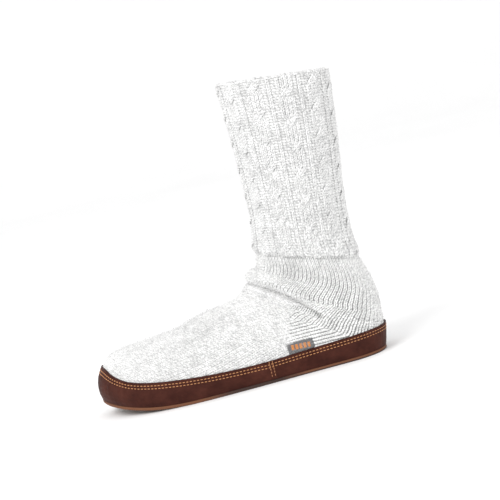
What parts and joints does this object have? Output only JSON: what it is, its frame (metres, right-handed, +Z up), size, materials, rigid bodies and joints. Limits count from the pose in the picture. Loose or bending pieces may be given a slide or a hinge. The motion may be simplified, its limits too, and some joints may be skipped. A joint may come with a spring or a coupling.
{
  "type": "slipper sock",
  "caption": "Left slipper sock: knitted crew sock with cabled leg, set in a leather rand on a thin leather sole, with a padded footbed and a small side label.",
  "frame": {"origin": "on the floor, under the middle of the bounding box", "axes": "+Z up from the sole, -X towards the toe, -Y towards the lateral (outer) side of the left foot"},
  "size_m": [0.2792, 0.1018, 0.2742],
  "materials": {
    "ragg_knit": "ragg wool knit, off-white and grey marl",
    "brown_leather": "oiled dark reddish-brown",
    "sole_leather": "waxed brown edge",
    "footbed_fleece": "napped",
    "woven_label": "woven"
  },
  "bodies": {
    "root": {"upper": "ragg_knit", "rand_front": "brown_leather", "rand_rear": "brown_leather", "outsole": "sole_leather", "insole": "footbed_fleece", "label": "woven_label"}
  },
  "joints": []
}
